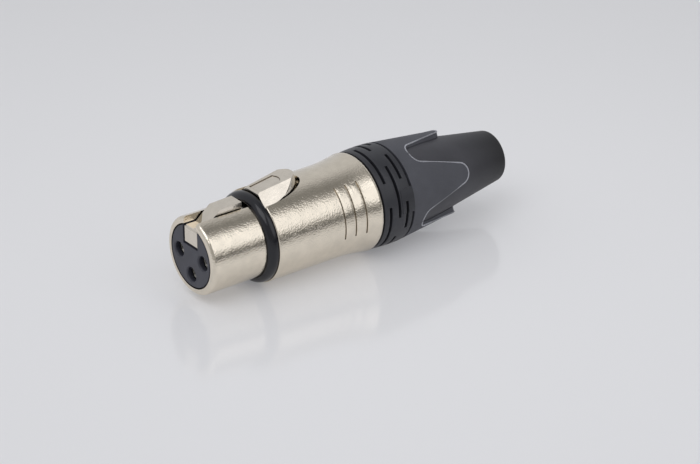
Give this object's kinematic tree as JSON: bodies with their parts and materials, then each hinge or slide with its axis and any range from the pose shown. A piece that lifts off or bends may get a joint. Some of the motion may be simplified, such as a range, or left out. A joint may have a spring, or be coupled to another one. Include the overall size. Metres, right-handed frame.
{
  "type": "cable socket connector",
  "caption": "Round cable socket with a push-to-release latch, contact holes in its face, a slotted grip ring and a clasped soft cable sleeve.",
  "frame": {"origin": "centre of the mating face, on the plug's axis", "axes": "+X along the axis towards the cable end, +Z towards the latch"},
  "size_m": [0.075, 0.0209, 0.0217],
  "materials": {
    "housing_nickel": "satin nickel plate",
    "latch_nickel": "polished nickel plate",
    "front_ring_black": "satin",
    "rear_ring_black": "satin",
    "insert_grey": "satin",
    "nut_grey": "fine matt",
    "sleeve_soft": "matt",
    "clamp_grey": "matt",
    "contact_silver": "silver plated",
    "cage_bronze": "bright",
    "pin_steel": "ground",
    "spring_steel": "rolled",
    "ground_tinned": "tinned"
  },
  "bodies": {
    "housing": {"housing": "housing_nickel", "front_ring": "front_ring_black", "insert": "insert_grey", "contact_1": "contact_silver", "contact_2": "contact_silver", "contact_3": "contact_silver", "contact_cage_1": "cage_bronze", "contact_cage_2": "cage_bronze", "contact_cage_3": "cage_bronze", "ground_contact": "ground_tinned", "latch_pin": "pin_steel", "latch_spring": "spring_steel"},
    "latch": {"latch_lever": "latch_nickel"},
    "clamp": {"cable_clamp": "clamp_grey"},
    "nut": {"gland_nut": "nut_grey", "kink_sleeve": "sleeve_soft", "rear_ring": "rear_ring_black"}
  },
  "joints": [
    {"name": "latch_press", "type": "hinge", "parent": "housing", "child": "latch", "pos_m": [0.0019, 0, 0.0037], "axis": [0, 1, 0], "range_deg": [0, 6.5], "stiffness_Nm_per_rad": 0.25, "springref_deg": -2.86, "deforming": ["latch_spring"]},
    {"name": "clamp_slide", "type": "slide", "parent": "housing", "child": "clamp", "axis": [1, 0, 0], "range_m": [0, 0.00625]},
    {"name": "nut_turn", "type": "hinge", "parent": "clamp", "child": "nut", "pos_m": [0.045, 0, 0], "axis": [1, 0, 0], "range_deg": [0, 1800]}
  ],
  "couplings": [
    {"joint": "nut_turn", "follows": "clamp_slide", "rad_per_m": 5026.5}
  ]
}
